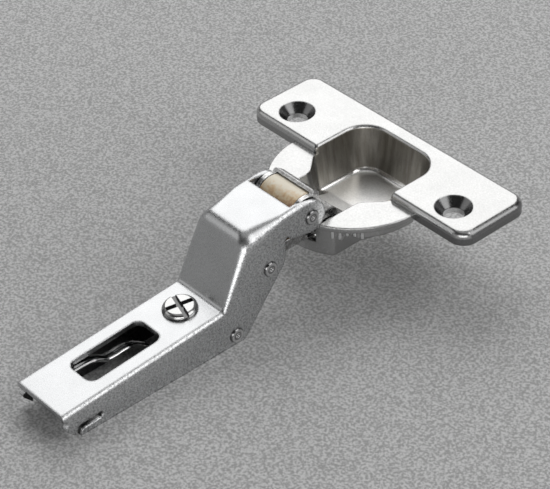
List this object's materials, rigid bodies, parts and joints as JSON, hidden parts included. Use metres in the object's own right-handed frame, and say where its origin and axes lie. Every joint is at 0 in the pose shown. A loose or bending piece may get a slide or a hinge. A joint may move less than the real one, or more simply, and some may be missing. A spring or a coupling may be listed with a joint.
{
  "type": "inset hinge",
  "caption": "Concealed cup hinge for an inset cupboard door, opened to its stop: flanged cup joined by a folded linkage to a cranked clip-on arm with a side adjusting screw.",
  "frame": {"origin": "axis of the cup on the plane of the door's face", "axes": "+Z out of the door's face, +X along the flange from screw hole to screw hole, +Y away from the arm"},
  "size_m": [0.0658, 0.1013, 0.0254],
  "materials": {
    "cast_nickel": "nickel-plated die casting, satin",
    "arm_nickel": "nickel-plated folded sheet, satin",
    "stamped_nickel": "nickel-plated stamping",
    "pin_steel": "bright riveted steel",
    "screw_nickel": "nickel-plated screw",
    "spring_steel": "dark spring steel",
    "roller_plastic": "cream plastic"
  },
  "bodies": {
    "cup": {"hinge_cup": "cast_nickel", "cup_rear_pin": "pin_steel", "cup_front_pin": "pin_steel"},
    "outer_link": {"outer_link": "stamped_nickel"},
    "arm": {"hinge_arm": "arm_nickel", "arm_front_pin": "pin_steel", "arm_rear_pin": "pin_steel", "hook_pin": "pin_steel", "closing_spring": "spring_steel", "clip_spring": "spring_steel"},
    "inner_link": {"inner_link": "stamped_nickel"},
    "roller": {"roller": "roller_plastic"},
    "adjusting_screw": {"adjusting_screw": "screw_nickel"}
  },
  "joints": [
    {"name": "outer_link_swing", "type": "hinge", "parent": "cup", "child": "outer_link", "pos_m": [0, -0.0082, -0.0032], "axis": [-1, 0, 0], "range_deg": [0, 127]},
    {"name": "arm_swing", "type": "hinge", "parent": "outer_link", "child": "arm", "pos_m": [0, -0.0179, 0.0042], "axis": [-1, 0, 0], "range_deg": [-33.2, 0]},
    {"name": "inner_link_swing", "type": "hinge", "parent": "cup", "child": "inner_link", "pos_m": [0, -0.0123, -0.0021], "axis": [-1, 0, 0], "range_deg": [0, 127]},
    {"name": "roller_spin", "type": "hinge", "parent": "arm", "child": "roller", "pos_m": [0, -0.0179, 0.0042], "axis": [1, 0, 0], "continuous": true},
    {"name": "screw_turn", "type": "hinge", "parent": "arm", "child": "adjusting_screw", "pos_m": [0, -0.04718, -0.00742], "axis": [0, -0.068, 0.9977], "range_deg": [-360, 360]}
  ],
  "couplings": [
    {"joint": "arm_swing", "follows": "outer_link_swing", "ratio": -0.26063},
    {"joint": "inner_link_swing", "follows": "outer_link_swing", "ratio": 1}
  ]
}
